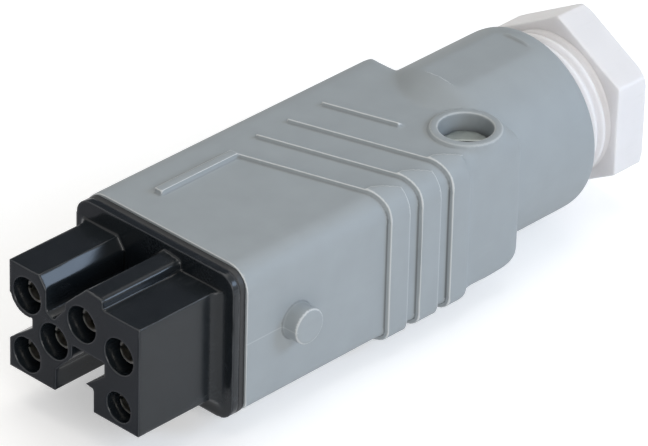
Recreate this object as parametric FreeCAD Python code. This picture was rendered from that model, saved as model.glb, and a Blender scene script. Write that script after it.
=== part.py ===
import FreeCAD, Part
import math
import os
from FreeCAD import Vector

# A rectangular six-contact cable socket: a grey hood with a cable gland and a black contact carrier.
# The origin is in the middle of the hood's front rim. +Y runs to the cable, +X is the side that has the
# carrier's fixing screw, +Z is up. Sizes are in millimetres.

# Clearances, and how far a cutter reaches past a face and a joined piece into its neighbour
loose = 0.3
running = 0.05
thread_room = 0.1
past = 1.0
lap = 0.5

# Hood
body_width = 26.0
body_height = 18.5
body_length = 45.7
top_edge_radius = 2.9
bottom_edge_radius = 1.0
rear_top_radius = 1.5
rear_bottom_radius = 3.0
rear_left_radius = 4.2
rear_right_radius = 0.6
wall = 1.9
rear_wall = 8.7
cavity_corner = 1.5
half_width = body_width / 2
half_height = body_height / 2
cavity_half_width = half_width - wall
cavity_half_height = half_height - wall
cavity_depth = body_length - rear_wall
through = 2 * body_width

# Cable gland, whose screw is a Pg 11 thread
cable_axis_z = -0.35
thread_radius = 9.3
thread_depth = 0.67
bore_radius = thread_radius + thread_room
cable_hole_radius = 5.25
cable_hole_flare = 0.8
hexagon_thickness = 5.0
hexagon_across_flats = 2 * thread_radius + 1.9
hexagon_corner_cut = 0.75
chamfer_angle = 30.0
washer_thickness = 1.2
washer_hole_radius = cable_hole_radius + 0.6
seal_length = 6.0
seal_hole_radius = cable_hole_radius - 0.65
seal_edge = 0.5

# Neck of the hood, with the bore for the gland
neck_length = 14.7
neck_end = body_length + neck_length
neck_radius = bore_radius + 2.35
neck_edge = 1.0
neck_cone_front = body_length - 7.1
neck_cone_back = body_length - 1.3
neck_cone_radius = neck_radius - 3.35
neck_cone_bend = 4.0
neck_flat_height = cable_axis_z + neck_radius - 0.4
neck_flat_front = body_length - 0.9
neck_flat_back = neck_end - 2.4
passage_radius = cable_hole_radius + 1.25
seal_seat = body_length + 0.3
shank_inner_end = neck_end - 3.7
hexagon_front = neck_end + 4.9
hexagon_back = hexagon_front + hexagon_thickness

# Grip ribs, which slant across both broad sides and run straight down the narrow side at +X
rib_count = 3
rib_first = 22.6
rib_pitch = 5.15
rib_band_width = 3.2
rib_crest_width = 1.0
rib_height = 0.65
rib_slant = 0.31
rib_left_end = -half_width + 5.75
short_rib_gap = 0.55
short_rib_right_end = rib_left_end + 9.75
frame_leg_left = rib_left_end + 0.6
frame_leg_front = 4.6
frame_leg_width = 1.2

# Locking pegs
peg_radius = 2.25
peg_length = 2.3
peg_place = 7.9
peg_edge = 0.4

# Pocket with the carrier's fixing screw
pocket_x = half_width - 4.65
pocket_y = body_length - 5.2
pocket_rim_radius = 4.4
pocket_rim_height = 0.5
pocket_rim_edge = 0.3
pocket_radius = 3.3
pocket_floor = half_height - 3.6
fixing_screw_radius = 1.5
fixing_head_radius = 2.8
fixing_head_height = 2.0
fixing_screw_length = 7.0
fixing_slot_width = 0.8
fixing_slot_depth = 0.9
fixing_slot_turn = 45.0

# Contact carrier
block_front = -14.2
hole_wall = 0.5
flange_front = -1.9
flange_inset = 0.3
flange_overhang = 0.95
flange_corner = 2.2
flange_cove = 1.2
gasket_thickness = 0.85
terminal_length = 17.0
terminal_half_width = cavity_half_width - loose
terminal_half_height = cavity_half_height - loose
arm_thickness = 1.8
arm_height = 4.0
tongue_front = cavity_depth - 4.0
tongue_back = pocket_y + 2.9
tongue_left = pocket_x - 2.3

# Keyed front face of the block: corners (x, z, rounding), drawn for a terminal body of these half sizes
# and stretched to the real one
pattern_half_width = 10.8
pattern_half_height = 7.05
stretch_x = terminal_half_width / pattern_half_width
stretch_z = terminal_half_height / pattern_half_height
block_face = [
    (10.25, -7.6, 0),
    (10.25, 6.5, 0),
    (-10.7, 6.5, 0),
    (-10.7, -7.6, 0),
]
key_rib = [
    (0.1, 6.5, 0),
    (1.7, 8.0, 0.3),
    (4.3, 7.7, 0.4),
    (4.4, 6.5, 0),
    (4.4, 5.5, 0),
    (0.1, 5.5, 0),
]
side_notch = [
    (-12.5, 3.13, 0),
    (-7.0, 0.2, 0.4),
    (-7.0, -0.95, 0.4),
    (-12.5, -5.22, 0),
]
top_valley = [
    (-5.9, 6.5, 0),
    (-4.8, 5.0, 0),
    (-4.8, 2.3, 0.5),
    (-3.6, 1.6, 0.4),
    (-1.7, 3.9, 0.4),
    (-1.7, 4.7, 0),
    (0.1, 6.5, 0),
    (0.1, 8.5, 0),
    (-5.9, 8.5, 0),
]
lower_slot = [
    (-3.35, -9.6, 0),
    (-3.1, -4.75, 0),
    (-0.6, -2.05, 0.4),
    (-0.6, -0.3, 0.3),
    (4.7, -0.3, 0.3),
    (4.7, -2.0, 0.3),
    (1.7, -4.4, 0),
    (2.9, -4.6, 0.2),
    (3.03, -9.6, 0),
]

# Contacts: hole centre (x, z), hole radius, and the side that the screw enters from. The centres spread
# with the room that the terminal body leaves between the outermost barrels and its sides
contact_places = {
    "line_contact_1": (-7.9, 2.9, 2.25, 1),
    "line_contact_2": (-7.9, -5.0, 2.2, -1),
    "line_contact_3": (-3.5, -1.2, 2.25, -1),
    "line_contact_4": (1.0, 3.1, 2.25, 1),
    "line_contact_5": (7.0, 1.6, 2.25, 1),
    "earth_contact": (7.0, -5.1, 1.9, -1),
}
contact_recess = 1.6
contact_length = 32.0
contact_edge = 0.2
sleeve_length = 11.0
sleeve_radius = 1.65
pin_hole_radius = 1.2
pin_hole_depth = 9.0
slit_width = 0.4
slit_depth = 8.0
barrel_radius = 1.7
wire_hole_radius = 1.0
wire_hole_depth = 9.0
terminal_screw_place = 13.0
terminal_screw_radius = 1.0
terminal_screw_inner = 0.4
terminal_screw_outer = 1.7
terminal_slot_width = 0.4
terminal_slot_depth = 0.5
contact_wall_x = 1.2
contact_wall_z = 0.25
contact_reach_x = max(abs(x) for x, z, hole_radius, side in contact_places.values())
contact_reach_z = max(abs(z) for x, z, hole_radius, side in contact_places.values())
contact_spread_x = (terminal_half_width - barrel_radius - contact_wall_x) / contact_reach_x
contact_spread_z = (terminal_half_height - barrel_radius - contact_wall_z) / contact_reach_z
contact_front = block_front + contact_recess
contact_step = contact_front + sleeve_length
contact_back = contact_front + contact_length
contacts = {
    name: (x * contact_spread_x, z * contact_spread_z, hole_radius, side)
    for name, (x, z, hole_radius, side) in contact_places.items()
}


def outline(corners):
    """Closed flat wire through corners given as (point, radius), each rounded by its radius."""
    bends = []
    for index, (point, radius) in enumerate(corners):
        before = corners[index - 1][0] - point
        after = corners[(index + 1) % len(corners)][0] - point
        before.normalize()
        after.normalize()
        half_angle = before.getAngle(after) / 2
        setback = radius / math.tan(half_angle)
        inward = before + after
        if radius > 0:
            inward.normalize()
        middle = point + inward * (radius / math.sin(half_angle) - radius)
        bends.append((point + before * setback, middle, point + after * setback, radius))
    edges = []
    for index, (start, middle, finish, radius) in enumerate(bends):
        if radius > 0:
            edges.append(Part.Arc(start, middle, finish).toShape())
        next_start = bends[(index + 1) % len(bends)][0]
        edges.append(Part.LineSegment(finish, next_start).toShape())
    return Part.Wire(edges)


def polygon(points):
    """Flat face with sharp corners."""
    return Part.Face(Part.makePolygon(points + points[:1]))


def along_y(corners, y_from, y_to):
    """Straight solid along Y, with an outline of corners (x, z, radius)."""
    wire = outline([(Vector(x, y_from, z), radius) for x, z, radius in corners])
    return Part.Face(wire).extrude(Vector(0, y_to - y_from, 0))


def rectangle(half_x, half_z, top_radius, bottom_radius):
    """Corners (x, z, radius) of a rectangle about the Y axis."""
    return [
        (half_x, -half_z, bottom_radius),
        (half_x, half_z, top_radius),
        (-half_x, half_z, top_radius),
        (-half_x, -half_z, bottom_radius),
    ]


def stretched(corners):
    """Corners (x, z, radius) of the face pattern, stretched to the part's size."""
    return [(x * stretch_x, z * stretch_z, radius) for x, z, radius in corners]


def box(x_range, y_range, z_range):
    """Block between two values on each axis."""
    size = [high - low for low, high in (x_range, y_range, z_range)]
    return Part.makeBox(*size, Vector(x_range[0], y_range[0], z_range[0]))


def rod_x(radius, y, z, x_from, x_to):
    """Cylinder along X."""
    return Part.makeCylinder(radius, x_to - x_from, Vector(x_from, y, z), Vector(1, 0, 0))


def rod_y(radius, x, z, y_from, y_to):
    """Cylinder along Y."""
    return Part.makeCylinder(radius, y_to - y_from, Vector(x, y_from, z), Vector(0, 1, 0))


def rod_z(radius, x, y, z_from, z_to):
    """Cylinder along Z."""
    return Part.makeCylinder(radius, z_to - z_from, Vector(x, y, z_from))


def turned(profile, x=0.0, z=cable_axis_z):
    """Solid turned about an axis along Y, the cable's if not said, from corners (radius, y, rounding)."""
    wire = outline([(Vector(x + r, y, z), rounding) for r, y, rounding in profile])
    return Part.Face(wire).revolve(Vector(x, 0, z), Vector(0, 1, 0), 360)


def cut_all(shape, tools):
    """Shape with every tool cut out of it, one after the other."""
    for tool in tools:
        shape = shape.cut(tool)
    return shape.removeSplitter()


def slotted(screw, head_radius, head_top, width, depth):
    """Screw on the Z axis, with a straight slot across its upper end."""
    reach = 2 * head_radius
    slot = box((-reach, reach), (-width / 2, width / 2), (head_top - depth, head_top + past))
    return screw.cut(slot)


def mirrored_below(shape):
    """Copy of a shape, mirrored from the upper broad side to the lower one."""
    return shape.mirror(Vector(0, 0, 0), Vector(0, 0, 1))


def hood_block():
    """Rounded outer block of the hood, whose rear end is also rounded in side view and in plan."""
    section = rectangle(half_width, half_height, top_edge_radius, bottom_edge_radius)
    block = along_y(section, 0, body_length)
    side_corners = [
        (Vector(-half_width, 0, -half_height), 0),
        (Vector(-half_width, body_length, -half_height), rear_bottom_radius),
        (Vector(-half_width, body_length, half_height), rear_top_radius),
        (Vector(-half_width, 0, half_height), 0),
    ]
    side_view = Part.Face(outline(side_corners)).extrude(Vector(body_width, 0, 0))
    plan_corners = [
        (Vector(half_width, 0, -half_height), 0),
        (Vector(half_width, body_length, -half_height), rear_right_radius),
        (Vector(-half_width, body_length, -half_height), rear_left_radius),
        (Vector(-half_width, 0, -half_height), 0),
    ]
    plan_view = Part.Face(outline(plan_corners)).extrude(Vector(0, 0, body_height))
    return block.common(side_view).common(plan_view)


def neck():
    """Round neck that grows out of the hood as a cone, with a flat on its upper side."""
    turned_neck = turned([
        (0, neck_cone_front, 0),
        (neck_cone_radius, neck_cone_front, 0),
        (neck_radius, neck_cone_back, neck_cone_bend),
        (neck_radius, neck_end, neck_edge),
        (0, neck_end, 0),
    ])
    flat = box((-neck_radius, neck_radius), (neck_flat_front, neck_flat_back), (neck_flat_height, through))
    return turned_neck.cut(flat)


def slanted_rib(y_front, x_right, x_left):
    """Rib on the broad side: a front step that slopes back to the surface."""
    root = half_height - rib_height
    y_right = y_front + rib_slant * (x_right - half_width)
    profile = [
        Vector(x_right, y_right, root),
        Vector(x_right, y_right, half_height + rib_height),
        Vector(x_right, y_right + rib_crest_width, half_height),
        Vector(x_right, y_right + rib_crest_width, root),
    ]
    run = x_left - x_right
    return polygon(profile).extrude(Vector(run, rib_slant * run, 0))


def rib_band(y_front):
    """Band of one rib down the narrow side, which narrows to the rib's crest on the upper and lower side."""
    raised = rectangle(
        half_width + rib_height,
        half_height + rib_height,
        top_edge_radius + rib_height,
        bottom_edge_radius + rib_height,
    )
    x_bend = half_width - top_edge_radius
    x_outside = half_width + top_edge_radius
    y_bend = y_front - rib_slant * top_edge_radius
    y_back = y_front + rib_band_width
    plan = polygon([
        Vector(x_bend, y_bend, -body_height),
        Vector(half_width, y_front, -body_height),
        Vector(x_outside, y_front, -body_height),
        Vector(x_outside, y_back, -body_height),
        Vector(half_width - bottom_edge_radius, y_back, -body_height),
        Vector(x_bend, y_bend + rib_crest_width, -body_height),
    ])
    return along_y(raised, y_bend, y_back).common(plan.extrude(Vector(0, 0, 2 * body_height)))


def ribs():
    """Grip ribs: bands down one narrow side, slanted ribs on the broad sides, a frame leg on top."""
    x_bend = half_width - top_edge_radius
    bands = []
    slanted = []
    for number in range(rib_count):
        y_front = rib_first + number * rib_pitch
        x_left = frame_leg_left if number == 0 else rib_left_end
        bands.append(rib_band(y_front))
        slanted.append(slanted_rib(y_front, x_bend, x_left))
    y_short = rib_first + rib_count * rib_pitch + short_rib_gap
    slanted.append(slanted_rib(y_short, short_rib_right_end, rib_left_end))
    leg_right = frame_leg_left + frame_leg_width
    leg_back = rib_first + rib_slant * (leg_right - half_width)
    leg = box(
        (frame_leg_left, leg_right),
        (frame_leg_front, leg_back),
        (half_height - rib_height, half_height + rib_height),
    )
    return bands + slanted + [mirrored_below(rib) for rib in slanted] + [leg]


def rounded_ends(rod, radius):
    """Rod with the rims of its two ends rounded."""
    rims = [edge for edge in rod.Edges if isinstance(edge.Curve, Part.Circle)]
    return rod.makeFillet(radius, rims)


def pegs():
    """Locking pegs on the two narrow sides."""
    reach = half_width + peg_length
    return rounded_ends(rod_x(peg_radius, peg_place, cable_axis_z, -reach, reach), peg_edge)


def make_housing():
    rim_top = half_height + pocket_rim_height
    rim = rod_z(pocket_rim_radius, pocket_x, pocket_y, half_height - top_edge_radius, rim_top)
    hood = hood_block().multiFuse([neck(), rounded_ends(rim, pocket_rim_edge), pegs()] + ribs())
    cavity = along_y(
        rectangle(cavity_half_width, cavity_half_height, cavity_corner, cavity_corner), -past, cavity_depth
    )
    passage = rod_y(passage_radius, 0, cable_axis_z, cavity_depth - past, seal_seat + past)
    mouth_radius = bore_radius + neck_edge / 2
    bore = turned([
        (0, seal_seat, 0),
        (bore_radius, seal_seat, 0),
        (bore_radius, neck_end - neck_edge / 2, 0),
        (mouth_radius, neck_end, 0),
        (mouth_radius, neck_end + past, 0),
        (0, neck_end + past, 0),
    ])
    tongue_room = box(
        (tongue_left - loose, cavity_half_width),
        (cavity_depth - past, tongue_back + loose),
        (-arm_height / 2 - loose, arm_height / 2 + loose),
    )
    pocket = rod_z(pocket_radius, pocket_x, pocket_y, pocket_floor, rim_top + past)
    screw_hole = rod_z(fixing_screw_radius + loose, pocket_x, pocket_y, 0, pocket_floor + past)
    return cut_all(hood, [cavity, passage, bore, tongue_room, pocket, screw_hole])


def block_foot():
    """Foot of the block, which widens to the flange in a hollow curve on every side but the upper one."""
    corners = stretched(block_face)
    x_values = [x for x, z, rounding in corners]
    z_values = [z for x, z, rounding in corners]
    x_range = (min(x_values) - flange_cove, max(x_values) + flange_cove)
    z_range = (min(z_values) - flange_cove, max(z_values))
    foot = box(x_range, (flange_front - flange_cove, flange_front + lap), z_range)
    curve_offset = flange_cove / 4
    curve_radius = math.hypot(flange_cove + curve_offset, curve_offset)
    curve_y = flange_front - flange_cove - curve_offset
    reach = body_width
    return cut_all(foot, [
        rod_z(curve_radius, x_range[0] - curve_offset, curve_y, -reach, reach),
        rod_z(curve_radius, x_range[1] + curve_offset, curve_y, -reach, reach),
        rod_x(curve_radius, curve_y, z_range[0] - curve_offset, -reach, reach),
    ])


def contact_block():
    """Keyed block in front of the flange, with a wall kept round every contact hole."""
    back = flange_front + lap
    block = along_y(stretched(block_face), block_front, back)
    block = block.multiFuse([along_y(stretched(key_rib), block_front, back), block_foot()])
    for keyway in (side_notch, top_valley, lower_slot):
        block = block.cut(along_y(stretched(keyway), block_front - past, back + past))
    walls = []
    for x, z, hole_radius, side in contacts.values():
        walls.append(rod_y(hole_radius + hole_wall, x, z, block_front, back))
    limits = along_y(stretched(block_face), block_front, back)
    return block.multiFuse([wall_ring.common(limits) for wall_ring in walls])


def flange_corners():
    """Corners (x, z, radius) of the flange, which reaches a little below the hood."""
    half_flange = half_width - flange_inset
    top = half_height - flange_inset
    bottom = -half_height - flange_overhang
    return [
        (half_flange, bottom, flange_corner),
        (half_flange, top, flange_corner),
        (-half_flange, top, flange_corner),
        (-half_flange, bottom, flange_corner),
    ]


def fixing_arm():
    """Arm along the hood's side wall, with a tongue behind that the fixing screw holds."""
    z_range = (-arm_height / 2, arm_height / 2)
    arm = box(
        (terminal_half_width - arm_thickness, terminal_half_width),
        (terminal_length - lap, tongue_front + lap),
        z_range,
    )
    tongue = box((tongue_left, terminal_half_width), (tongue_front, tongue_back), z_range)
    return arm.fuse(tongue)


def at_terminal(shape, x, z, side):
    """Shape drawn above the origin, moved to a contact's clamping screw and turned to the screw's side."""
    if side < 0:
        shape.rotate(Vector(0, 0, 0), Vector(0, 1, 0), 180)
    shape.translate(Vector(x, terminal_screw_place, z))
    return shape


def make_contact_carrier():
    flange = along_y(flange_corners(), flange_front, -gasket_thickness)
    section = rectangle(terminal_half_width, terminal_half_height, cavity_corner, cavity_corner)
    terminal_body = along_y(section, flange_front + lap, terminal_length)
    carrier = contact_block().multiFuse([flange, terminal_body, fixing_arm()])
    holes = []
    for x, z, hole_radius, side in contacts.values():
        well = rod_z(terminal_screw_radius + loose, 0, 0, 0, through)
        holes.append(rod_y(hole_radius, x, z, block_front - past, contact_step))
        holes.append(rod_y(barrel_radius + running, x, z, contact_step - past, contact_back + past))
        holes.append(at_terminal(well, x, z, side))
    holes.append(rod_z(fixing_screw_radius + running, pocket_x, pocket_y, -through, through))
    return cut_all(carrier, holes)


def make_flange_gasket():
    window = rectangle(
        terminal_half_width + running, terminal_half_height + running, cavity_corner, cavity_corner
    )
    frame = along_y(flange_corners(), -gasket_thickness, 0)
    return frame.cut(along_y(window, -gasket_thickness - past, past))


def make_contact(x, z, hole_radius, side):
    """Turned socket: slit sleeve in front, barrel with a wire hole and a tapped hole behind."""
    blank = turned([
        (0, contact_front, 0),
        (sleeve_radius - contact_edge, contact_front, 0),
        (sleeve_radius, contact_front + contact_edge, 0),
        (sleeve_radius, contact_step, 0),
        (barrel_radius, contact_step, 0),
        (barrel_radius, contact_back - contact_edge, 0),
        (barrel_radius - contact_edge, contact_back, 0),
        (0, contact_back, 0),
    ], x, z)
    pin_hole = rod_y(pin_hole_radius, x, z, contact_front - past, contact_front + pin_hole_depth)
    wire_hole = rod_y(wire_hole_radius, x, z, contact_back - wire_hole_depth, contact_back + past)
    tapped = rod_z(terminal_screw_radius + running, 0, 0, 0, 2 * barrel_radius)
    slit = box(
        (x - 2 * barrel_radius, x + 2 * barrel_radius),
        (contact_front - past, contact_front + slit_depth),
        (z - slit_width / 2, z + slit_width / 2),
    )
    return cut_all(blank, [pin_hole, wire_hole, at_terminal(tapped, x, z, side), slit])


def make_terminal_screws():
    """One slotted clamping screw in each contact, as separate solids."""
    screws = []
    for x, z, hole_radius, side in contacts.values():
        screw = rod_z(terminal_screw_radius, 0, 0, terminal_screw_inner, terminal_screw_outer)
        screw = slotted(
            screw, terminal_screw_radius, terminal_screw_outer, terminal_slot_width, terminal_slot_depth
        )
        screws.append(at_terminal(screw, x, z, side))
    return Part.makeCompound(screws)


def make_carrier_fixing_screw():
    head = rod_z(fixing_head_radius, 0, 0, 0, fixing_head_height)
    shank = rod_z(fixing_screw_radius, 0, 0, -fixing_screw_length, lap)
    screw = slotted(
        head.fuse(shank), fixing_head_radius, fixing_head_height, fixing_slot_width, fixing_slot_depth
    )
    screw.rotate(Vector(0, 0, 0), Vector(0, 0, 1), fixing_slot_turn)
    screw.translate(Vector(pocket_x, pocket_y, pocket_floor))
    return screw.removeSplitter()


def make_cable_seal():
    """Rubber ring that the gland squeezes round the cable, with bevelled edges."""
    seal_back = seal_seat + seal_length
    return turned([
        (seal_hole_radius, seal_seat + seal_edge, 0),
        (seal_hole_radius + seal_edge, seal_seat, 0),
        (thread_radius - seal_edge, seal_seat, 0),
        (thread_radius, seal_seat + seal_edge, 0),
        (thread_radius, seal_back - seal_edge, 0),
        (thread_radius - seal_edge, seal_back, 0),
        (seal_hole_radius + seal_edge, seal_back, 0),
        (seal_hole_radius, seal_back - seal_edge, 0),
    ])


def make_thrust_washer():
    return turned([
        (washer_hole_radius, shank_inner_end - washer_thickness, 0),
        (thread_radius, shank_inner_end - washer_thickness, 0),
        (thread_radius, shank_inner_end, 0),
        (washer_hole_radius, shank_inner_end, 0),
    ])


def make_gland_screw():
    """White pressure screw: shank, chamfered hexagon and a hole for the cable."""
    shank = turned([
        (0, shank_inner_end, 0),
        (thread_radius - thread_depth, shank_inner_end, 0),
        (thread_radius, shank_inner_end + thread_depth, 0),
        (thread_radius, hexagon_front + lap, 0),
        (0, hexagon_front + lap, 0),
    ])
    corner_radius = hexagon_across_flats / math.sqrt(3)
    points = []
    for number in range(6):
        angle = math.radians(30 + 60 * number)
        points.append((corner_radius * math.cos(angle), cable_axis_z + corner_radius * math.sin(angle), 0))
    hexagon = along_y(points, hexagon_front, hexagon_back)
    end_radius = corner_radius - hexagon_corner_cut
    chamfer_length = hexagon_corner_cut * math.tan(math.radians(chamfer_angle))
    rounding = turned([
        (0, hexagon_front, 0),
        (corner_radius, hexagon_front, 0),
        (corner_radius, hexagon_back - chamfer_length, 0),
        (end_radius, hexagon_back, 0),
        (0, hexagon_back, 0),
    ])
    flare_radius = cable_hole_radius + cable_hole_flare
    cable_hole = turned([
        (0, shank_inner_end - past, 0),
        (cable_hole_radius, shank_inner_end - past, 0),
        (cable_hole_radius, hexagon_back - cable_hole_flare, 0),
        (flare_radius, hexagon_back, 0),
        (flare_radius, hexagon_back + past, 0),
        (0, hexagon_back + past, 0),
    ])
    return shank.fuse(hexagon.common(rounding)).cut(cable_hole).removeSplitter()


nodes = {
    "housing": make_housing(),
    "contact_carrier": make_contact_carrier(),
    "flange_gasket": make_flange_gasket(),
    "terminal_screws": make_terminal_screws(),
    "carrier_fixing_screw": make_carrier_fixing_screw(),
    "cable_seal": make_cable_seal(),
    "thrust_washer": make_thrust_washer(),
    "gland_screw": make_gland_screw(),
}
for contact_name, place in contacts.items():
    nodes[contact_name] = make_contact(*place)

os.makedirs("parts", exist_ok=True)
for node_name, shape in nodes.items():
    print(node_name, len(shape.Solids), shape.isValid(), round(shape.Volume, 1), shape.BoundBox)
    shape.exportStep("parts/" + node_name + ".step")
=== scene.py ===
import math
import bmesh
import bpy
from mathutils import Matrix, Vector


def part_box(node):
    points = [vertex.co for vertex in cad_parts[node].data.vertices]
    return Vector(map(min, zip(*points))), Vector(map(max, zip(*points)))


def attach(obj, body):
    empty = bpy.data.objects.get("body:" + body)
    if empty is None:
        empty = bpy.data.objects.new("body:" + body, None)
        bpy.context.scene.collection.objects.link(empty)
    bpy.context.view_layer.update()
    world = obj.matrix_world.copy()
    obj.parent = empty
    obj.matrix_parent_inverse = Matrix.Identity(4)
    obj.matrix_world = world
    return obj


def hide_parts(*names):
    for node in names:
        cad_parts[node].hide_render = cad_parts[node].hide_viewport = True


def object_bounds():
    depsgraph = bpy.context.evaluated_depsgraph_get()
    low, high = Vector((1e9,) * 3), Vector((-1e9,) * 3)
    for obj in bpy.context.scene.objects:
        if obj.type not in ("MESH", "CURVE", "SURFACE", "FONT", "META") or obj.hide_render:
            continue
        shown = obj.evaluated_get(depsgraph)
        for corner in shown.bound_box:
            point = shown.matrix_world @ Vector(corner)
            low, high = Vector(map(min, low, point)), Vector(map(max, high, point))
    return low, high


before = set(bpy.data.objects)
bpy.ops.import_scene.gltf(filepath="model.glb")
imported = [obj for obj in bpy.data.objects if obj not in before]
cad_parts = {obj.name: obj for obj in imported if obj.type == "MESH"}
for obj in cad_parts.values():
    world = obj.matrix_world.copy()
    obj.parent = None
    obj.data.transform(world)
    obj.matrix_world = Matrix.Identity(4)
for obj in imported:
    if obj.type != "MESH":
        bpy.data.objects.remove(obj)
cad_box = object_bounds()
scene = bpy.context.scene

# Hood: the grey outer shell, injection moulded in one piece with its grip ribs, locking pegs and neck.
# The mould rounds every edge a little, so the skin is the construction solid with its edges softened.
# It is a fine matt plastic with a spark-eroded grain, and has a faint parting line at peg height.
mm = 0.001
merge_distance = 0.0001 * mm
hood_cell = 0.11 * mm
hood_passes = 5
hood_triangles = 185000
pass_strength = 0.5
triangles_per_cell_face = 2
edge_blur = 6
edge_height = 0.05 * mm
edge_share = 0.5
facet_share = 0.25
facet_steps = 40
pocket_centre = (8.35 * mm, 40.5 * mm)
boss_radius = 4.4 * mm
boss_wall_share = 0.88
boss_blend_radius = 7.5 * mm
boss_blend_steps = 150
boss_side_from = 9.8 * mm
boss_side_to = 11.3 * mm
boss_top_from = 9.35 * mm
boss_top_to = 8.7 * mm
grain_detail = 2
patch_detail = 3
streak_turn = (0.5, 0.3, 0.8)
streak_stretch = (1, 0.08, 1)
streak_detail = 2
streak_floor = 0.62
streak_gain = 6
spots_per_metre = 180
spot_detail = 2
spot_floor = 0.45
spot_gain = 4
hood_grey_dark = (0.285, 0.312, 0.325, 1)
hood_grey_light = (0.335, 0.366, 0.382, 1)
hood_grey_rubbed = (0.38, 0.41, 0.425, 1)
# Painted highlight on the hood's outer edges: full on the body, weaker round the screw pocket's ring and on
# the neck.
hood_edge_highlight = (0.6, 0.62, 0.62, 1)
ring_edge_highlight = (0.46, 0.485, 0.49, 1)
ring_highlight_radius = 4.9 * mm
hood_highlight_radius = 5.8 * mm
neck_edge_highlight = (0.34, 0.37, 0.385, 1)
body_highlights_end = 47 * mm
neck_highlights_start = 50 * mm
# Painted shade in the hood's inner corners: darkest on the sides by the grip bands, lighter by the peg and on
# the top.
side_corner_shade = (0.07, 0.079, 0.085, 1)
peg_corner_shade = (0.2, 0.218, 0.228, 1)
peg_end = 14 * mm
bands_start = 20 * mm
top_corner_shade = (0.25, 0.27, 0.28, 1)
top_shade_from = 6 * mm
top_shade_to = 9 * mm
parting_line_height = -0.35 * mm
parting_line_width = 0.07 * mm
parting_line_side = 12.8 * mm
parting_line_end = 6 * mm
parting_line_paleness = 0.3
parting_line_rise = 1.5
hood_roughness = (0.5, 0.66)
hood_bump = (0.35, 0.012 * mm)


def add(tree, kind, **settings):
    """New shader or geometry node with its settings."""
    node = tree.nodes.new(kind)
    for name, value in settings.items():
        setattr(node, name, value)
    return node


def give(tree, value, socket):
    """Give a node's input its value: a plain number or colour, or a link from another socket."""
    if isinstance(value, (int, float, tuple)):
        socket.default_value = value
    else:
        tree.links.new(value, socket)


def math_node(tree, operation, first, second=None):
    """Math node whose inputs are sockets or plain numbers."""
    node = add(tree, "ShaderNodeMath", operation=operation)
    give(tree, first, node.inputs[0])
    if second is not None:
        give(tree, second, node.inputs[1])
    return node.outputs[0]


def ramp(tree, value, low, high):
    """A value's smooth step from 0 at one number or socket to 1 at another."""
    step = add(tree, "ShaderNodeMapRange", interpolation_type="SMOOTHSTEP")
    tree.links.new(value, step.inputs["Value"])
    give(tree, low, step.inputs["From Min"])
    give(tree, high, step.inputs["From Max"])
    return step.outputs[0]


def separate(tree, vector):
    """A vector's three parts, by the names X, Y and Z."""
    node = add(tree, "ShaderNodeSeparateXYZ")
    tree.links.new(vector, node.inputs[0])
    return node.outputs


def slant_length(tree, across, along):
    """Length of the slanting side over two sides that stand square to each other."""
    squares = [math_node(tree, "MULTIPLY", side, side) for side in (across, along)]
    return math_node(tree, "SQRT", math_node(tree, "ADD", squares[0], squares[1]))


def distance_from(tree, axes, x, y):
    """Level distance of a place, given by its separate parts, from an upright axis."""
    across = math_node(tree, "SUBTRACT", axes["X"], x)
    along = math_node(tree, "SUBTRACT", axes["Y"], y)
    return slant_length(tree, across, along)


def new_geometry_tree(name, inputs):
    """Geometry node tree with named inputs beside its geometry: the tree and its inputs' sockets."""
    tree = bpy.data.node_groups.new(name, "GeometryNodeTree")
    tree.interface.new_socket("Geometry", in_out="INPUT", socket_type="NodeSocketGeometry")
    tree.interface.new_socket("Geometry", in_out="OUTPUT", socket_type="NodeSocketGeometry")
    for socket_name, kind in inputs.items():
        tree.interface.new_socket(socket_name, in_out="INPUT", socket_type="NodeSocket" + kind)
    return tree, add(tree, "NodeGroupInput").outputs


def end_tree(tree, geometry, finish):
    """Last nodes of a geometry tree: real geometry with its material."""
    whole = add(tree, "GeometryNodeRealizeInstances")
    tree.links.new(geometry, whole.inputs[0])
    paint = add(tree, "GeometryNodeSetMaterial")
    tree.links.new(whole.outputs[0], paint.inputs["Geometry"])
    tree.links.new(finish, paint.inputs["Material"])
    tree.links.new(paint.outputs[0], add(tree, "NodeGroupOutput").inputs[0])


def blur(tree, vector, steps, weight=None):
    """A vector blurred along the surface in steps, by a weight where one is given."""
    node = add(tree, "GeometryNodeBlurAttribute", data_type="FLOAT_VECTOR")
    tree.links.new(vector, node.inputs["Value"])
    tree.links.new(steps, node.inputs["Iterations"])
    if weight:
        tree.links.new(weight, node.inputs["Weight"])
    return node.outputs[0]


def stand_out(tree, place, normal, steps, full_height):
    """How far a point stands out of its own blurred surroundings, as a share of a full height."""
    apart = add(tree, "ShaderNodeVectorMath", operation="SUBTRACT")
    tree.links.new(place, apart.inputs[0])
    tree.links.new(blur(tree, place, steps), apart.inputs[1])
    outwards = add(tree, "ShaderNodeVectorMath", operation="DOT_PRODUCT")
    tree.links.new(apart.outputs[0], outwards.inputs[0])
    tree.links.new(normal, outwards.inputs[1])
    return math_node(tree, "DIVIDE", outwards.outputs["Value"], full_height)


def move_to(tree, geometry, place):
    """Geometry with its points moved to a place."""
    node = add(tree, "GeometryNodeSetPosition")
    tree.links.new(geometry, node.inputs["Geometry"])
    tree.links.new(place, node.inputs["Position"])
    return node.outputs[0]


def store(tree, geometry, name, kind, value):
    """Geometry with a named value kept on its points."""
    node = add(tree, "GeometryNodeStoreNamedAttribute", data_type=kind, domain="POINT")
    tree.links.new(geometry, node.inputs["Geometry"])
    node.inputs["Name"].default_value = name
    tree.links.new(value, node.inputs["Value"])
    return node.outputs[0]


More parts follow.
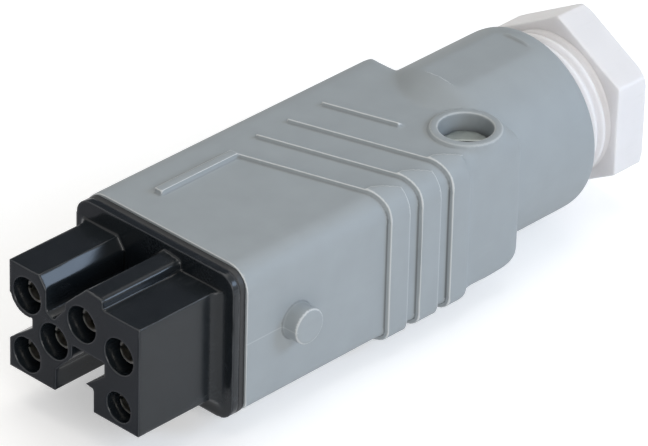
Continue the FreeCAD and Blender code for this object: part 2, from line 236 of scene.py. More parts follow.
def make_facet_smoothing():
    """Geometry nodes that smooth the facets of the rounded faces, and leave real edges where they are."""
    sizes = {"Blur steps": "Int", "Full height": "Float", "Smoothing steps": "Int", "Finish": "Material"}
    tree, given = new_geometry_tree("facet_smoothing", sizes)
    place = add(tree, "GeometryNodeInputPosition").outputs[0]
    normal = add(tree, "GeometryNodeInputNormal").outputs[0]
    edge = stand_out(tree, place, normal, given["Blur steps"], given["Full height"])
    smooth = ramp(tree, math_node(tree, "ABSOLUTE", edge), edge_share, facet_share)
    smoothed = blur(tree, place, given["Smoothing steps"], smooth)
    end_tree(tree, move_to(tree, given["Geometry"], smoothed), given["Finish"])
    return tree


def make_edge_finder():
    """Geometry nodes that measure how far each point stands out of its own blurred surroundings.

    The measure is kept as the attribute "edge": above 0 on outer edges, below 0 in inner corners.
    The dense skin's own blurred normal is kept beside it as "skin_normal".
    """
    sizes = {"Blur steps": "Int", "Full height": "Float", "Finish": "Material"}
    tree, given = new_geometry_tree("edge_finder", sizes)
    place = add(tree, "GeometryNodeInputPosition").outputs[0]
    normal = add(tree, "GeometryNodeInputNormal").outputs[0]
    edge = stand_out(tree, place, normal, given["Blur steps"], given["Full height"])
    measured = store(tree, given["Geometry"], "edge", "FLOAT", edge)
    smooth_normal = blur(tree, normal, given["Blur steps"])
    measured = store(tree, measured, "skin_normal", "FLOAT_VECTOR", smooth_normal)
    end_tree(tree, measured, given["Finish"])
    return tree


def make_boss_blend():
    """Geometry nodes that flow the screw pocket's boss into the hood's rounded side edge below it."""
    sizes = {name: "Float" for name in ("Centre X", "Centre Y", "Boss radius", "Blend radius")}
    tree, given = new_geometry_tree("boss_blend", {**sizes, "Blur steps": "Int", "Finish": "Material"})
    place = add(tree, "GeometryNodeInputPosition").outputs[0]
    axes = separate(tree, place)
    radius = distance_from(tree, axes, given["Centre X"], given["Centre Y"])
    wall_middle = math_node(tree, "MULTIPLY", given["Boss radius"], boss_wall_share)
    shares = [
        ramp(tree, radius, wall_middle, given["Boss radius"]),
        ramp(tree, radius, given["Blend radius"], given["Boss radius"]),
        ramp(tree, axes["X"], boss_side_from, boss_side_to),
        ramp(tree, axes["Z"], boss_top_from, boss_top_to),
    ]
    share = shares[0]
    for other in shares[1:]:
        share = math_node(tree, "MULTIPLY", share, other)
    blended = blur(tree, place, given["Blur steps"], share)
    end_tree(tree, move_to(tree, given["Geometry"], blended), given["Finish"])
    return tree


def set_inputs(modifier, values):
    """Set a geometry nodes modifier's inputs by the identifiers of their named sockets."""
    for socket in modifier.node_group.interface.items_tree:
        if socket.in_out == "INPUT" and socket.name in values:
            modifier[socket.identifier] = values[socket.name]


def add_tree(piece, tree, material, values):
    """Modifier that runs a geometry node tree on a piece, with its material and named values."""
    modifier = piece.modifiers.new(tree.name, "NODES")
    modifier.node_group = tree
    set_inputs(modifier, {**values, "Finish": material})


def merged_copy(node_name, piece_name):
    """New object with a copy of a construction solid's mesh, its loose triangles merged."""
    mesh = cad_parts[node_name].data.copy()
    mesh.name = piece_name
    merged = bmesh.new()
    merged.from_mesh(mesh)
    bmesh.ops.remove_doubles(merged, verts=merged.verts, dist=merge_distance)
    merged.to_mesh(mesh)
    merged.free()
    mesh.materials.clear()
    piece = bpy.data.objects.new(piece_name, mesh)
    scene.collection.objects.link(piece)
    return piece


def settle(piece):
    """Make what a piece's modifiers draw its plain mesh."""
    drawn = piece.evaluated_get(bpy.context.evaluated_depsgraph_get())
    mesh = bpy.data.meshes.new_from_object(drawn)
    mesh.name = piece.name
    piece.modifiers.clear()
    piece.data = mesh


def soften(piece, cell, passes, triangles, material, blend_sizes=None):
    """Round a piece's edges as a mould does: even cells, smoothed, then thinned where it is flat."""
    cells = piece.modifiers.new("cells", "REMESH")
    cells.mode = "VOXEL"
    cells.voxel_size = cell
    smoothing = piece.modifiers.new("smoothing", "SMOOTH")
    smoothing.factor = pass_strength
    smoothing.iterations = passes
    measure = {"Blur steps": edge_blur, "Full height": edge_height}
    add_tree(piece, facet_smoothing, material, {**measure, "Smoothing steps": facet_steps})
    if blend_sizes:
        add_tree(piece, boss_blend, material, blend_sizes)
    add_tree(piece, edge_finder, material, measure)
    settle(piece)
    thinning = piece.modifiers.new("thinning", "DECIMATE")
    thinning.ratio = min(1, triangles / (triangles_per_cell_face * len(piece.data.polygons)))
    settle(piece)
    mesh = piece.data
    mesh.shade_smooth()
    skin_normal = mesh.attributes["skin_normal"]
    mesh.normals_split_custom_set_from_vertices([point.vector.normalized() for point in skin_normal.data])
    mesh.attributes.remove(skin_normal)


def new_group(name, inputs, outputs):
    """Shader node group with named inputs and outputs: the group and its two end nodes."""
    group = bpy.data.node_groups.new(name, "ShaderNodeTree")
    for socket_name, kind in inputs.items():
        group.interface.new_socket(socket_name, in_out="INPUT", socket_type="NodeSocket" + kind)
    for socket_name, kind in outputs.items():
        group.interface.new_socket(socket_name, in_out="OUTPUT", socket_type="NodeSocket" + kind)
    return group, add(group, "NodeGroupInput"), add(group, "NodeGroupOutput")


def noise(tree, vector, scale, detail):
    """Noise texture's value output, with its scale from a socket or a number per metre."""
    texture = add(tree, "ShaderNodeTexNoise")
    tree.links.new(vector, texture.inputs["Vector"])
    give(tree, scale, texture.inputs["Scale"])
    texture.inputs["Detail"].default_value = detail
    return texture.outputs[0]


def make_mould_grain():
    """Skin of a moulded piece: a fine eroded grain, and slow patches where the plastic flowed."""
    group, start, end = new_group(
        "mould_grain",
        {"Place": "Vector", "Grains per metre": "Float", "Patches per metre": "Float"},
        {"Grain": "Float", "Patch": "Float"},
    )
    grain = noise(group, start.outputs["Place"], start.outputs["Grains per metre"], grain_detail)
    patch = noise(group, start.outputs["Place"], start.outputs["Patches per metre"], patch_detail)
    group.links.new(grain, end.inputs["Grain"])
    group.links.new(patch, end.inputs["Patch"])
    return group


def rise_over(tree, value, floor, gain):
    """How far a value is above a floor, less than 0 where it is below, times a gain."""
    return math_node(tree, "MULTIPLY", math_node(tree, "SUBTRACT", value, floor), gain)


def make_handling_marks():
    """Rubbed marks from handling, as a mask.

    Long thin streaks are multiplied by wide spots, so a mark shows where both rise or both fall.
    """
    group, start, end = new_group(
        "handling_marks",
        {"Place": "Vector", "Streaks per metre": "Float", "Amount": "Float"},
        {"Mask": "Float"},
    )
    stretch = add(group, "ShaderNodeMapping")
    stretch.inputs["Rotation"].default_value = streak_turn
    stretch.inputs["Scale"].default_value = streak_stretch
    group.links.new(start.outputs["Place"], stretch.inputs["Vector"])
    streak = noise(group, stretch.outputs[0], start.outputs["Streaks per metre"], streak_detail)
    spot = noise(group, start.outputs["Place"], spots_per_metre, spot_detail)
    streak_rise = rise_over(group, streak, streak_floor, streak_gain)
    spot_rise = rise_over(group, spot, spot_floor, spot_gain)
    mask = add(group, "ShaderNodeClamp")
    group.links.new(math_node(group, "MULTIPLY", streak_rise, spot_rise), mask.inputs["Value"])
    marked = math_node(group, "MULTIPLY", mask.outputs[0], start.outputs["Amount"])
    group.links.new(marked, end.inputs["Mask"])
    return group


def blend_colours(tree, amount, first, second):
    """Colour between two, which are sockets or plain colours, by an amount.

    A Mix node has sockets for each kind of data: its colours go in at 6 and 7 and come out at 2.
    """
    mix = add(tree, "ShaderNodeMix", data_type="RGBA")
    tree.links.new(amount, mix.inputs[0])
    give(tree, first, mix.inputs[6])
    give(tree, second, mix.inputs[7])
    return mix.outputs[2]


def make_edge_light_and_shade():
    """Colour of a moulding with painted highlights on its outer edges and painted shade in its inner corners.
    """
    group, start, end = new_group(
        "edge_light_and_shade",
        {"Colour": "Color", "Highlight": "Color", "Shade": "Color"},
        {"Colour": "Color"},
    )
    edge = add(group, "ShaderNodeAttribute", attribute_name="edge").outputs["Fac"]
    outer = ramp(group, edge, facet_share, 1)
    inner = ramp(group, edge, -facet_share, -1)
    highlighted = blend_colours(group, outer, start.outputs["Colour"], start.outputs["Highlight"])
    shaded = blend_colours(group, inner, highlighted, start.outputs["Shade"])
    group.links.new(shaded, end.inputs["Colour"])
    return group


def paint_edge_light(tree, colour, pale, dark):
    """A colour with painted highlights on outer edges and painted shade in inner corners, whose tones are
    sockets or plain colours.
    """
    node = add(tree, "ShaderNodeGroup", node_tree=edge_light_and_shade)
    give(tree, colour, node.inputs["Colour"])
    give(tree, pale, node.inputs["Highlight"])
    give(tree, dark, node.inputs["Shade"])
    return node.outputs["Colour"]


def place_group(tree, group, place, **values):
    """Put a node group in a material, with its place vector and its own values: its outputs."""
    node = add(tree, "ShaderNodeGroup", node_tree=group)
    tree.links.new(place, node.inputs["Place"])
    for name, value in values.items():
        node.inputs[name.replace("_", " ")].default_value = value
    return node.outputs


def new_material(name):
    """Material with a Principled shader: the material and the shader."""
    material = bpy.data.materials.new(name)
    material.use_nodes = True
    return material, material.node_tree.nodes["Principled BSDF"]


def object_place(tree):
    """A material's Object coordinates."""
    return add(tree, "ShaderNodeTexCoord").outputs["Object"]


def span(tree, value, low, high):
    """A value from 0 to 1 spread between two numbers."""
    spread = add(tree, "ShaderNodeMapRange")
    tree.links.new(value, spread.inputs["Value"])
    spread.inputs["To Min"].default_value = low
    spread.inputs["To Max"].default_value = high
    return spread.outputs[0]


def bump(tree, shader, height, strength, distance):
    """Bump a shader's normal by a height."""
    node = add(tree, "ShaderNodeBump")
    node.inputs["Strength"].default_value = strength
    node.inputs["Distance"].default_value = distance
    tree.links.new(height, node.inputs["Height"])
    tree.links.new(node.outputs[0], shader.inputs["Normal"])


def make_hood_grey():
    """Matt grey plastic: grain, patches, rubbed streaks, the mould's parting line, painted highlights on
    outer edges and painted shade in inner corners.
    """
    material, shader = new_material("hood_grey")
    tree = material.node_tree
    place = object_place(tree)
    axes = separate(tree, place)
    skin = place_group(tree, mould_grain, place, Grains_per_metre=5500.0, Patches_per_metre=260.0)
    marks = place_group(tree, handling_marks, place, Streaks_per_metre=2600.0, Amount=0.08)
    grey = blend_colours(tree, skin["Patch"], hood_grey_dark, hood_grey_light)
    marked = blend_colours(tree, marks["Mask"], grey, hood_grey_rubbed)
    # Painted shade for the inner corners, lighter up on the top than on the sides.
    top_shade_share = ramp(tree, axes["Z"], top_shade_from, top_shade_to)
    at_bands = ramp(tree, axes["Y"], peg_end, bands_start)
    side_shade = blend_colours(tree, at_bands, peg_corner_shade, side_corner_shade)
    corner_shade = blend_colours(tree, top_shade_share, side_shade, top_corner_shade)
    # Painted highlight for the outer edges, weaker round the pocket's ring and on the neck.
    off_pocket = distance_from(tree, axes, pocket_centre[0], pocket_centre[1])
    off_ring = ramp(tree, off_pocket, ring_highlight_radius, hood_highlight_radius)
    body_highlight_colour = blend_colours(tree, off_ring, ring_edge_highlight, hood_edge_highlight)
    at_neck = ramp(tree, axes["Y"], body_highlights_end, neck_highlights_start)
    edge_highlight_colour = blend_colours(tree, at_neck, body_highlight_colour, neck_edge_highlight)
    above_line = math_node(tree, "SUBTRACT", axes["Z"], parting_line_height)
    from_line = math_node(tree, "ABSOLUTE", above_line)
    near_line = math_node(tree, "LESS_THAN", from_line, parting_line_width)
    from_middle = math_node(tree, "ABSOLUTE", axes["X"])
    at_side = math_node(tree, "GREATER_THAN", from_middle, parting_line_side)
    line = math_node(tree, "MULTIPLY", near_line, at_side)
    before_peg = math_node(tree, "LESS_THAN", axes["Y"], parting_line_end)
    pale_share = math_node(tree, "MULTIPLY", before_peg, parting_line_paleness)
    pale_line = math_node(tree, "MULTIPLY", line, pale_share)
    lined = blend_colours(tree, pale_line, marked, hood_edge_highlight)
    tree.links.new(paint_edge_light(tree, lined, edge_highlight_colour, corner_shade), shader.inputs["Base Color"])
    tree.links.new(span(tree, skin["Patch"], *hood_roughness), shader.inputs["Roughness"])
    line_height = math_node(tree, "MULTIPLY", line, parting_line_rise)
    bump(tree, shader, math_node(tree, "ADD", skin["Grain"], line_height), *hood_bump)
    return material


facet_smoothing = make_facet_smoothing()
edge_finder = make_edge_finder()
boss_blend = make_boss_blend()
edge_light_and_shade = make_edge_light_and_shade()
mould_grain = make_mould_grain()
handling_marks = make_handling_marks()
hood = merged_copy("housing", "hood")
boss_sizes = {
    "Centre X": pocket_centre[0],
    "Centre Y": pocket_centre[1],
    "Boss radius": boss_radius,
    "Blend radius": boss_blend_radius,
    "Blur steps": boss_blend_steps,
}
soften(hood, hood_cell, hood_passes, hood_triangles, make_hood_grey(), boss_sizes)
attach(hood, "housing")
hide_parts("housing")

# Contact carrier: the black block with the keyed front face, its flange, and the terminal body and arm
# inside the hood. It is one moulding in a hard glossy plastic, with crisper edges than the hood.
carrier_cell = 0.1 * mm
carrier_passes = 3
carrier_triangles = 170000
carrier_black_dark = (0.007, 0.0095, 0.012, 1)
carrier_black_light = (0.012, 0.0155, 0.019, 1)
carrier_dust = (0.03, 0.034, 0.04, 1)
# Painted highlight on the block's outer edges and painted shade in its inner corners.
carrier_edge_highlight = (0.034, 0.038, 0.043, 1)
carrier_corner_shade = (0.004, 0.005, 0.006, 1)
carrier_specular = 0.33
carrier_roughness = (0.17, 0.25)
carrier_bump = (0.12, 0.006 * mm)


def weigh_normals(piece):
    """Shade a piece by its larger faces, so that its flats stay flat up to their rounded edges."""
    normals = piece.modifiers.new("normals", "WEIGHTED_NORMAL")
    normals.keep_sharp = False
    settle(piece)


def make_carrier_black():
    """Glossy black plastic with a faint orange-peel skin, dulled, handled patches, painted highlights on its
    outer edges and painted shade in its inner corners.
    """
    material, shader = new_material("carrier_black")
    tree = material.node_tree
    place = object_place(tree)
    skin = place_group(tree, mould_grain, place, Grains_per_metre=1500.0, Patches_per_metre=320.0)
    marks = place_group(tree, handling_marks, place, Streaks_per_metre=3200.0, Amount=0.5)
    black = blend_colours(tree, skin["Patch"], carrier_black_dark, carrier_black_light)
    dusty = blend_colours(tree, marks["Mask"], black, carrier_dust)
    edge_lit = paint_edge_light(tree, dusty, carrier_edge_highlight, carrier_corner_shade)
    tree.links.new(edge_lit, shader.inputs["Base Color"])
    shader.inputs["Specular IOR Level"].default_value = carrier_specular
    tree.links.new(span(tree, skin["Patch"], *carrier_roughness), shader.inputs["Roughness"])
    bump(tree, shader, skin["Grain"], *carrier_bump)
    return material


carrier = merged_copy("contact_carrier", "carrier")
soften(carrier, carrier_cell, carrier_passes, carrier_triangles, make_carrier_black())
weigh_normals(carrier)
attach(carrier, "housing")
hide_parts("contact_carrier")

# Contacts: six turned sockets of silver-plated brass that sit in the carrier's holes, each with a slit
# sleeve in front for the pin and a barrel with a clamping screw behind.
contact_names = ["line_contact_" + number for number in "12345"] + ["earth_contact"]
contact_tarnish = (0.52, 0.49, 0.43, 1)
contact_silver = (0.8, 0.785, 0.74, 1)
contact_roughness = (0.22, 0.38)
contact_bump = (0.2, 0.006 * mm)


def dress(piece, material):
    """Give each of a piece's material slots the same material."""
    for slot in piece.material_slots:
        slot.material = material


def make_contact_metal():
    """Plated metal with fine turning marks and a slight tarnish."""
    material, shader = new_material("contact_metal")
    tree = material.node_tree
    place = object_place(tree)
    skin = place_group(tree, mould_grain, place, Grains_per_metre=9000.0, Patches_per_metre=900.0)
    silver = blend_colours(tree, skin["Patch"], contact_tarnish, contact_silver)
    tree.links.new(silver, shader.inputs["Base Color"])
    tree.links.new(span(tree, skin["Patch"], *contact_roughness), shader.inputs["Roughness"])
    shader.inputs["Metallic"].default_value = 1
    bump(tree, shader, skin["Grain"], *contact_bump)
    return material


contact_metal = make_contact_metal()
for contact_name in contact_names:
    dress(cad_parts[contact_name], contact_metal)

# Screws: the slotted clamping screws of the contacts and the carrier's slotted fixing screw in its pocket.
# They are plain plated steel, and the fixing screw carries painted shade below its head's top, which darkens
# its slot.
clamping_steel_dark = (0.3, 0.3, 0.29, 1)
clamping_steel_light = (0.5, 0.5, 0.49, 1)
fixing_steel_dark = (0.27, 0.295, 0.285, 1)
fixing_steel_light = (0.385, 0.415, 0.405, 1)
# Painted shade on the fixing screw from just under its head's top downwards: it darkens the slot and the
# glint on the slot's edge.
slot_shade = (0.1, 0.1, 0.095, 1)
slot_shade_depth = 0.12 * mm
unshaded_depth = 0.02 * mm
steel_roughness = (0.42, 0.6)
steel_bump = (0.25, 0.008 * mm)
fixing_screw_cell = 0.05 * mm
fixing_screw_passes = 3
fixing_screw_triangles = 40000
fixing_screw_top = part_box("carrier_fixing_screw")[1].z


def make_screw_steel(name, dark, light, head_top=None):
    """Plated steel, a little dull and uneven, with painted shade below the top of a head that looks up."""
    material, shader = new_material(name)
    tree = material.node_tree
    place = object_place(tree)
    skin = place_group(tree, mould_grain, place, Grains_per_metre=7000.0, Patches_per_metre=1100.0)
    steel = blend_colours(tree, skin["Patch"], dark, light)
    # Painted shade below the head's top, which darkens the slot.
    if head_top is not None:
        height = separate(tree, place)["Z"]
        unshaded = ramp(tree, height, head_top - slot_shade_depth, head_top - unshaded_depth)
        steel = blend_colours(tree, unshaded, slot_shade, steel)
    tree.links.new(steel, shader.inputs["Base Color"])
    tree.links.new(span(tree, skin["Patch"], *steel_roughness), shader.inputs["Roughness"])
    shader.inputs["Metallic"].default_value = 1
    bump(tree, shader, skin["Grain"], *steel_bump)
    return material


screw_steel = make_screw_steel("screw_steel", clamping_steel_dark, clamping_steel_light)
dress(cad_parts["terminal_screws"], screw_steel)
fixing_steel = make_screw_steel("fixing_screw_steel", fixing_steel_dark, fixing_steel_light, fixing_screw_top)
fixing_screw = merged_copy("carrier_fixing_screw", "fixing_screw")
soften(fixing_screw, fixing_screw_cell, fixing_screw_passes, fixing_screw_triangles, fixing_steel)
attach(fixing_screw, "housing")
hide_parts("carrier_fixing_screw")

# Flange gasket and cable seal: a flat black rubber frame between the flange and the hood's rim, and the
# thick rubber ring that the gland squeezes round the cable.
gasket_cell = 0.07 * mm
gasket_passes = 4
gasket_triangles = 60000
gasket_tone = 0.016
seal_tone = 0.03
rubber_dark = (0.7, 0.7, 0.75)
rubber_light = (1.3, 1.35, 1.4)
rubber_roughness = (0.42, 0.62)
rubber_bump = (0.3, 0.012 * mm)


def toned(tone, shares):
    """Colour of a tone that has its own shares of red, green and blue."""
    red, green, blue = [tone * share for share in shares]
    return (red, green, blue, 1)


def make_rubber(name, tone):
    """Dull black rubber with a bloomed, uneven surface."""
    material, shader = new_material(name)
    tree = material.node_tree
    place = object_place(tree)
    skin = place_group(tree, mould_grain, place, Grains_per_metre=4200.0, Patches_per_metre=420.0)
    black = blend_colours(tree, skin["Patch"], toned(tone, rubber_dark), toned(tone, rubber_light))
    tree.links.new(black, shader.inputs["Base Color"])
    tree.links.new(span(tree, skin["Patch"], *rubber_roughness), shader.inputs["Roughness"])
    bump(tree, shader, skin["Grain"], *rubber_bump)
    return material


gasket = merged_copy("flange_gasket", "gasket")
gasket_rubber = make_rubber("gasket_rubber", gasket_tone)
soften(gasket, gasket_cell, gasket_passes, gasket_triangles, gasket_rubber)
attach(gasket, "housing")
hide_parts("flange_gasket")
dress(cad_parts["cable_seal"], make_rubber("seal_rubber", seal_tone))

# Gland screw and thrust washer: the white screw that squeezes the seal, moulded in one piece with a
# threaded shank, a chamfered hexagon and a flared hole for the cable, and the washer in front of it.
gland_low, gland_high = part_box("gland_screw")
gland_axis_z = -0.35 * mm
gland_sides = 144
shank_front = gland_low.y
shank_root_flare = 0.1 * mm
shank_tolerance = 0.01 * mm
hexagon_length = 5 * mm
hexagon_back = gland_high.y
hexagon_front = hexagon_back - hexagon_length
hexagon_half_side = math.pi / 6
hexagon_half_flats = 10.25 * mm
hexagon_corner = 0.5 * mm
hexagon_corner_offsets = (-1.9, -1.4, -0.9, -0.45, 0.45, 0.9, 1.4, 1.9)
hexagon_edge = 0.2 * mm
hexagon_edge_steps = 4
hexagon_flat_shares = (0.3, 0.6, 0.9, 1)
hexagon_corner_cut = 0.75 * mm
hexagon_face_radius = hexagon_half_flats / math.cos(hexagon_half_side) - hexagon_corner_cut
hexagon_face_rings = (9.7 * mm, 8.5 * mm)
hexagon_chamfer_slope = math.tan(math.radians(30))
hexagon_chamfer_shares = (0.25, 0.5)
cable_hole_radius = 5.25 * mm
cable_hole_inner_edge = 0.3 * mm
cable_hole_flare = 0.8 * mm
cable_hole_rim_width = 0.2 * mm
cable_hole_rim_depth = 0.08 * mm
thread_radius = 9.3 * mm
thread_depth = 0.67 * mm
thread_pitch = 1.411 * mm
thread_row = 0.09 * mm
thread_crest_share = 0.04
thread_root_share = 0.46
thread_run_out = 0.5 * thread_pitch
gland_white_dark = (0.745, 0.733, 0.736, 1)
gland_white_light = (0.807, 0.789, 0.792, 1)
washer_white_dark = (0.7, 0.7, 0.67, 1)
washer_white_light = (0.78, 0.78, 0.75, 1)
white_soil = (0.66, 0.66, 0.64, 1)
white_glow_weight = 0.9
white_glow_depth = 1.2 * mm
white_roughness = (0.34, 0.5)
white_bump = (0.2, 0.01 * mm)


def hexagon_radius(angle):
    """Distance from the axis to the hexagon's side at an angle, with its corners rounded."""
    from_flat = abs((angle % (2 * hexagon_half_side)) - hexagon_half_side)
    from_corner = hexagon_half_side - from_flat
    flat = hexagon_half_flats / math.cos(from_flat)
    centre = (hexagon_half_flats - hexagon_corner) / math.cos(hexagon_half_side)
    across = centre * math.sin(from_corner)
    if across >= hexagon_corner * math.sin(hexagon_half_side):
        return flat
    return centre * math.cos(from_corner) + math.sqrt(hexagon_corner ** 2 - across ** 2)


def gland_rows():
    """Rows (y, radius) once round the gland screw's section, from the cable hole's inner end.

    A radius of 0 or less is a row of the hexagon: how far it lies inside the hexagon's own outline.
    """
    rows = [
        (shank_front + cable_hole_inner_edge, cable_hole_radius),
        (shank_front, cable_hole_radius + cable_hole_inner_edge),
        (shank_front, thread_radius - thread_depth),
    ]
    steps = round((hexagon_front - shank_front - thread_depth) / thread_row)
    for step in range(steps + 1):
        rows.append((shank_front + thread_depth + step * thread_row, thread_radius))
    rows.append((hexagon_front, thread_radius + shank_root_flare))
    bends = [step / hexagon_edge_steps * math.pi / 2 for step in range(hexagon_edge_steps + 1)]
    for bend in bends:
        sunk = hexagon_edge * (math.sin(bend) - 1)
        rows.append((hexagon_front + hexagon_edge * (1 - math.cos(bend)), sunk))
    chamfer_length = hexagon_corner_cut * hexagon_chamfer_slope
    chamfer_start = hexagon_back - chamfer_length
    flats_length = chamfer_start - hexagon_front
    rows += [(hexagon_front + share * flats_length, 0.0) for share in hexagon_flat_shares]
    rows += [(chamfer_start + share * chamfer_length, 0.0) for share in hexagon_chamfer_shares]
    for bend in bends:
        sunk = hexagon_edge * (math.cos(bend) - 1)
        rows.append((hexagon_back - hexagon_edge * (1 - math.sin(bend)), sunk))
    rows += [(hexagon_back, radius) for radius in hexagon_face_rings]
    flare_radius = cable_hole_radius + cable_hole_flare
    rows.append((hexagon_back, flare_radius + cable_hole_rim_width))
    rows.append((hexagon_back - cable_hole_rim_depth, flare_radius))
    rows.append((hexagon_back - cable_hole_flare, cable_hole_radius))
    return rows


def gland_angles():
    """Angles round the axis: even steps, with more beside the hexagon's corners."""
    angles = [math.radians(360 / gland_sides * step) for step in range(gland_sides)]
    for corner in range(6):
        for offset in hexagon_corner_offsets:
            angles.append(math.radians(60 * corner + offset) % (2 * math.pi))
    return sorted(angles)


def gland_mesh():
    """Closed skin of the gland screw, with a plain shank that the thread is cut into next."""
    angles = gland_angles()
    skin = bmesh.new()
    rings = []
    for y, row_radius in gland_rows():
        ring = []
        for angle in angles:
            radius = row_radius
            if row_radius <= 0:
                cone = hexagon_face_radius + (hexagon_back - y) / hexagon_chamfer_slope
                radius = min(hexagon_radius(angle) + row_radius, cone)
            place = (radius * math.sin(angle), y, gland_axis_z + radius * math.cos(angle))
            ring.append(skin.verts.new(place))
        rings.append(ring)
    for index, ring in enumerate(rings):
        following = rings[(index + 1) % len(rings)]
        for side in range(len(ring)):
            beside = (side + 1) % len(ring)
            skin.faces.new((ring[side], ring[beside], following[beside], following[side]))
    bmesh.ops.recalc_face_normals(skin, faces=skin.faces)
    mesh = bpy.data.meshes.new("gland")
    skin.to_mesh(mesh)
    skin.free()
    return mesh


def thread_tree():
    """Geometry nodes that cut a right-hand thread into a shank: a radial offset that follows the helix."""
    names = ("Pitch", "Depth", "Outer radius", "Axis height", "Start", "End", "Run-out")
    sizes = {name: "Float" for name in names}
    tree, size = new_geometry_tree("screw_thread", {**sizes, "Finish": "Material"})
    axes = separate(tree, add(tree, "GeometryNodeInputPosition").outputs[0])
    height = math_node(tree, "SUBTRACT", axes["Z"], size["Axis height"])
    turn = math_node(tree, "DIVIDE", math_node(tree, "ARCTAN2", height, axes["X"]), 2 * math.pi)
    along = math_node(tree, "DIVIDE", axes["Y"], size["Pitch"])
    phase = math_node(tree, "FRACT", math_node(tree, "ADD", along, turn))
    from_crest = math_node(tree, "ABSOLUTE", math_node(tree, "SUBTRACT", phase, 0.5))
    flank = ramp(tree, from_crest, thread_crest_share, thread_root_share)
    run_out = add(tree, "ShaderNodeMapRange")
    tree.links.new(math_node(tree, "SUBTRACT", size["End"], axes["Y"]), run_out.inputs["Value"])
    tree.links.new(size["Run-out"], run_out.inputs["From Max"])
    cut = math_node(tree, "MULTIPLY", flank, run_out.outputs[0])
    cut = math_node(tree, "MULTIPLY", cut, size["Depth"])
    share = math_node(tree, "DIVIDE", cut, size["Outer radius"])
    inwards = math_node(tree, "MULTIPLY", share, -1)
    offset = add(tree, "ShaderNodeCombineXYZ")
    tree.links.new(math_node(tree, "MULTIPLY", axes["X"], inwards), offset.inputs["X"])
    tree.links.new(math_node(tree, "MULTIPLY", height, inwards), offset.inputs["Z"])
    radius = slant_length(tree, axes["X"], height)
    off_radius = math_node(tree, "ABSOLUTE", math_node(tree, "SUBTRACT", radius, size["Outer radius"]))
    on_shank = math_node(tree, "LESS_THAN", off_radius, shank_tolerance)
    before_head = math_node(tree, "LESS_THAN", axes["Y"], size["End"])
    past_start = math_node(tree, "GREATER_THAN", axes["Y"], size["Start"])
    chosen = math_node(tree, "MULTIPLY", on_shank, math_node(tree, "MULTIPLY", before_head, past_start))
    move = add(tree, "GeometryNodeSetPosition")
    tree.links.new(size["Geometry"], move.inputs["Geometry"])
    tree.links.new(chosen, move.inputs["Selection"])
    tree.links.new(offset.outputs[0], move.inputs["Offset"])
    end_tree(tree, move.outputs[0], size["Finish"])
    return tree


def make_white_plastic(name, dark, light):
    """White moulded plastic with a satin skin that lets a little light in, and faint soiled patches."""
    material, shader = new_material(name)
    tree = material.node_tree
    place = object_place(tree)
    skin = place_group(tree, mould_grain, place, Grains_per_metre=4800.0, Patches_per_metre=240.0)
    marks = place_group(tree, handling_marks, place, Streaks_per_metre=2400.0, Amount=0.25)
    white = blend_colours(tree, skin["Patch"], dark, light)
    soiled = blend_colours(tree, marks["Mask"], white, white_soil)
    tree.links.new(soiled, shader.inputs["Base Color"])
    tree.links.new(span(tree, skin["Patch"], *white_roughness), shader.inputs["Roughness"])
    shader.inputs["Subsurface Weight"].default_value = white_glow_weight
    shader.inputs["Subsurface Radius"].default_value = (1, 1, 1)
    shader.inputs["Subsurface Scale"].default_value = white_glow_depth
    bump(tree, shader, skin["Grain"], *white_bump)
    return material


gland = bpy.data.objects.new("gland", gland_mesh())
scene.collection.objects.link(gland)
gland_white = make_white_plastic("gland_white", gland_white_dark, gland_white_light)
thread_sizes = {
    "Pitch": thread_pitch,
    "Depth": thread_depth,
    "Outer radius": thread_radius,
    "Axis height": gland_axis_z,
    "Start": shank_front + thread_depth - shank_tolerance,
    "End": hexagon_front,
    "Run-out": thread_run_out,
}
add_tree(gland, thread_tree(), gland_white, thread_sizes)
settle(gland)
gland.data.shade_smooth()
weigh_normals(gland)
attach(gland, "gland_screw")
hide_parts("gland_screw")
washer_white = make_white_plastic("washer_plastic", washer_white_dark, washer_white_light)
dress(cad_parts["thrust_washer"], washer_white)

# Floor: a plain white table top that the part lies on. It takes the object's shadow, and glows enough
# to be seen as white, without lighting the object.
floor_size = 4.0
floor_z = cad_box[0].z
floor_white = (0.86, 0.86, 0.86, 1)
floor_roughness = 0.8
floor_glow = 0.4
plain_white = (1, 1, 1, 1)
square_corners = ((-1, -1), (1, -1), (1, 1), (-1, 1))


def background_mask(tree):
    """1 for what is seen directly, by reflection or through glass, and 0 for what lights the object."""
    rays = add(tree, "ShaderNodeLightPath")
    seen = math_node(tree, "ADD", rays.outputs["Is Camera Ray"], rays.outputs["Is Glossy Ray"])
    seen = math_node(tree, "ADD", seen, rays.outputs["Is Transmission Ray"])
    return math_node(tree, "MINIMUM", seen, 1)


def make_floor_white():
    """White table top with a glow that only the camera, reflections and glass see."""
    material, shader = new_material("floor_white")
    tree = material.node_tree
    shader.inputs["Base Color"].default_value = floor_white
    shader.inputs["Roughness"].default_value = floor_roughness
    shader.inputs["Emission Color"].default_value = plain_white
    glow = math_node(tree, "MULTIPLY", background_mask(tree), floor_glow)
    tree.links.new(glow, shader.inputs["Emission Strength"])
    return material


def flat_square(name, corners, material):
    """New object of one flat face with four corners."""
    mesh = bpy.data.meshes.new(name)
    mesh.from_pydata(corners, [], [(0, 1, 2, 3)])
    mesh.materials.append(material)
    square = bpy.data.objects.new(name, mesh)
    scene.collection.objects.link(square)
    return square


half_floor = floor_size / 2
floor_corners = [(x * half_floor, y * half_floor, floor_z) for x, y in square_corners]
floor = flat_square("floor", floor_corners, make_floor_white())

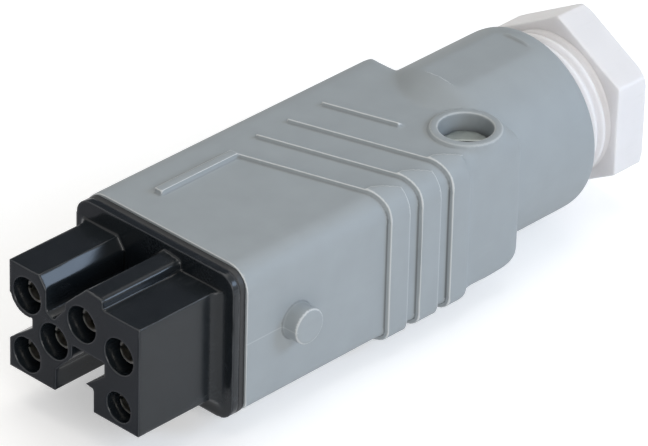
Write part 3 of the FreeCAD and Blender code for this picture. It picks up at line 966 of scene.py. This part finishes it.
# Dark cards: two flags of the studio, one over the black block's top and one before its front. They show
# only in gloss, where they keep the block dark, and they cast no shadow.
card_height = 0.4 * mm
card_tint = (1, 1, 1.1)
card_places = {
    "top_card": {"place": (-0.19, 0.17, 0.17), "facing": (0.588, -0.62, -0.519), "size": 0.26, "grey": 0.16},
    "front_card": {
        "place": (-0.032, -0.052, floor_z + card_height), "facing": (0, 0, 1), "size": 0.085, "grey": 0.6,
    },
}
for card_name, given in card_places.items():
    card_turn = Vector(given["facing"]).to_track_quat("Z", "Y")
    card_corners = []
    for x, y in square_corners:
        from_centre = card_turn @ Vector((x, y, 0)) * given["size"] / 2
        card_corners.append(Vector(given["place"]) + from_centre)
    card_material, card_shader = new_material(card_name)
    card_shader.inputs["Base Color"].default_value = toned(given["grey"], card_tint)
    card_shader.inputs["Roughness"].default_value = 1
    card = flat_square(card_name, card_corners, card_material)
    card.visible_camera = False
    card.visible_diffuse = False
    card.visible_shadow = False
    card.visible_transmission = False

# Light: plain soft studio light. A large lamp to the right lights the narrow side, a wide one overhead
# lights the top, one behind to the right draws the gloss on the black block, and the world fills in.
lamp_target = Vector((0, 0.028, 0))
lamp_places = {
    "key_lamp": {"place": (0.53, -0.22, 0.25), "size": 0.4, "power": 1.55, "colour": (1.0, 0.985, 0.97)},
    "top_lamp": {"place": (-0.12, 0.1, 0.6), "size": 0.6, "power": 1.4, "colour": (1.0, 0.97, 0.91)},
    "back_lamp": {"place": (0.312, 0.235, 0.2), "size": 0.18, "power": 0.58, "colour": (0.56, 0.74, 1.0)},
}
ambient_strength = 0.35
for lamp_name, given in lamp_places.items():
    lamp_data = bpy.data.lights.new(lamp_name, "AREA")
    lamp_data.shape = "DISK"
    lamp_data.size = given["size"]
    lamp_data.energy = given["power"]
    lamp_data.color = given["colour"]
    lamp = bpy.data.objects.new(lamp_name, lamp_data)
    lamp.location = given["place"]
    lamp.rotation_euler = (lamp_target - lamp.location).to_track_quat("-Z", "Y").to_euler()
    lamp.visible_camera = False
    scene.collection.objects.link(lamp)
world = bpy.data.worlds.new("studio")
world.use_nodes = True
scene.world = world
sky = world.node_tree.nodes["Background"]
sky.inputs["Color"].default_value = plain_white
sky_strength = add(world.node_tree, "ShaderNodeMapRange")
sky_strength.inputs["To Min"].default_value = ambient_strength
world.node_tree.links.new(background_mask(world.node_tree), sky_strength.inputs["Value"])
world.node_tree.links.new(sky_strength.outputs[0], sky.inputs["Strength"])
scene.view_settings.view_transform = "Standard"

# Camera: a long lens from above the front right, at the photograph's viewing angle. It was placed by the
# straight edges of the hood and the block.
camera_azimuth = math.radians(43.477)
camera_elevation = math.radians(31.272)
camera_roll = math.radians(1.494)
camera_place = Vector((405.81, -402.2, 357.38)) * mm
camera_lens = 329.79
camera_sensor = 36
camera_clip_start = 0.05
camera_clip_end = 20
level_right = Vector((math.cos(camera_azimuth), math.sin(camera_azimuth), 0))
backwards = Vector((
    math.sin(camera_azimuth) * math.cos(camera_elevation),
    -math.cos(camera_azimuth) * math.cos(camera_elevation),
    math.sin(camera_elevation),
))
level_up = backwards.cross(level_right)
camera_right = level_right * math.cos(camera_roll) + level_up * math.sin(camera_roll)
camera_up = level_up * math.cos(camera_roll) - level_right * math.sin(camera_roll)
camera_turn = Matrix((camera_right, camera_up, backwards)).transposed()
camera_data = bpy.data.cameras.new("camera")
camera_data.lens = camera_lens
camera_data.sensor_width = camera_sensor
camera_data.clip_start = camera_clip_start
camera_data.clip_end = camera_clip_end
camera = bpy.data.objects.new("camera", camera_data)
camera.matrix_world = Matrix.Translation(camera_place) @ camera_turn.to_4x4()
scene.collection.objects.link(camera)
scene.camera = camera
